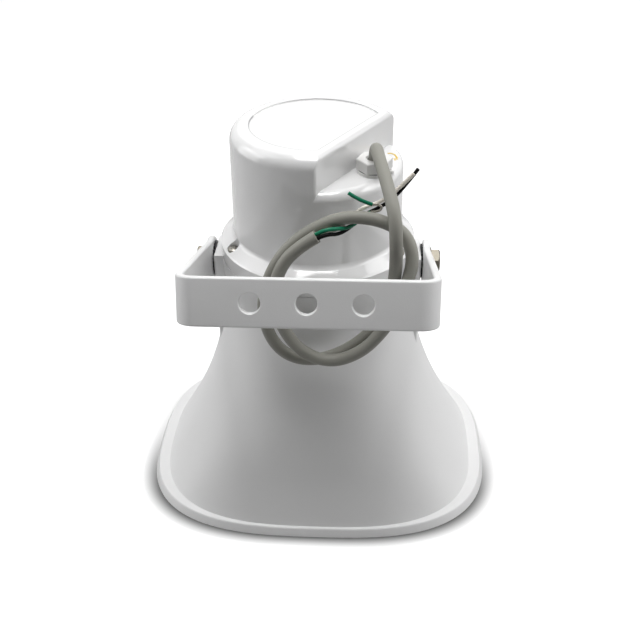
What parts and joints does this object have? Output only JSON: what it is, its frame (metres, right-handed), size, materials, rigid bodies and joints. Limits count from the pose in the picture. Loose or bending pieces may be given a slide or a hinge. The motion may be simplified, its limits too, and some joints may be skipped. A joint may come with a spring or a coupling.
{
  "type": "pa horn speaker",
  "caption": "Weatherproof public address horn speaker with a rectangular flared mouth, a round rear driver cover, a cable gland with a short coiled cable and a tilting U bracket.",
  "frame": {"origin": "the centre of the mouth, on the plane that the rim rests on", "axes": "+Z from the mouth to the rear cover along the horn's axis, +X along the bracket's pivot axis, +Y away from the side that the bracket and the cable are on"},
  "size_m": [0.218, 0.1938, 0.2304],
  "materials": {
    "bell": "satin white moulded plastic",
    "cover": "glossy white moulded plastic",
    "reflector": "satin white moulded plastic",
    "inner_plastic": "plain white moulded plastic",
    "gland": "smooth white nylon",
    "bracket_paint": "fine white powder coat",
    "stainless": "stainless steel",
    "black_washer": "black oxide steel",
    "brass": "plain brass",
    "black_rubber": "black rubber",
    "cable_jacket": "matte grey jacket",
    "white_wire": "smooth white insulation",
    "black_wire": "smooth black insulation",
    "green_wire": "smooth green insulation",
    "tinned_copper": "tinned copper strands",
    "driver_casting": "black moulded plastic",
    "diaphragm": "pressed phenolic",
    "copper": "enamelled copper",
    "fibre": "brown fibre board",
    "zinc_steel": "zinc plated steel",
    "zinc_screw": "zinc plated steel",
    "ferrite": "dark ferrite",
    "core_steel": "stacked dark steel sheet",
    "winding": "yellow tape over the winding"
  },
  "bodies": {
    "root": {"horn_bell": "bell", "tone_arm": "inner_plastic", "reflector": "reflector", "reflector_screws": "zinc_screw", "driver_gasket": "black_rubber", "driver_plate": "driver_casting", "phase_plug": "driver_casting", "suspension_ring": "fibre", "top_plate": "zinc_steel", "magnet": "ferrite", "back_plate": "zinc_steel", "driver_screws": "zinc_screw", "transformer_core": "core_steel", "transformer_winding": "winding", "transformer_strap": "zinc_steel", "transformer_screws": "zinc_screw", "terminal_board": "fibre", "driver_cover": "cover", "cover_gasket": "black_rubber", "cover_screws": "stainless", "gland_body": "gland", "gland_seal": "black_rubber", "gland_nut": "gland", "gland_grommet": "black_rubber", "gland_lock_nut": "gland", "pivot_bolts": "stainless", "pivot_flat_washers": "stainless", "tooth_washers": "black_washer", "pivot_inserts": "brass", "cable": "cable_jacket", "wire_white": "white_wire", "wire_black": "black_wire", "wire_green": "green_wire", "wire_green_strands": "tinned_copper", "wire_green_end": "green_wire"},
    "bracket": {"bracket": "bracket_paint"},
    "diaphragm": {"diaphragm": "diaphragm", "voice_coil": "copper"}
  },
  "joints": [
    {"name": "bracket_tilt", "type": "hinge", "parent": "root", "child": "bracket", "pos_m": [0, 0, 0.1445], "axis": [1, 0, 0], "range_deg": [-204, 60]},
    {"name": "diaphragm_travel", "type": "slide", "parent": "root", "child": "diaphragm", "axis": [0, 0, 1], "range_m": [-0.0003, 0.0003], "stiffness_N_per_m": 2000}
  ]
}
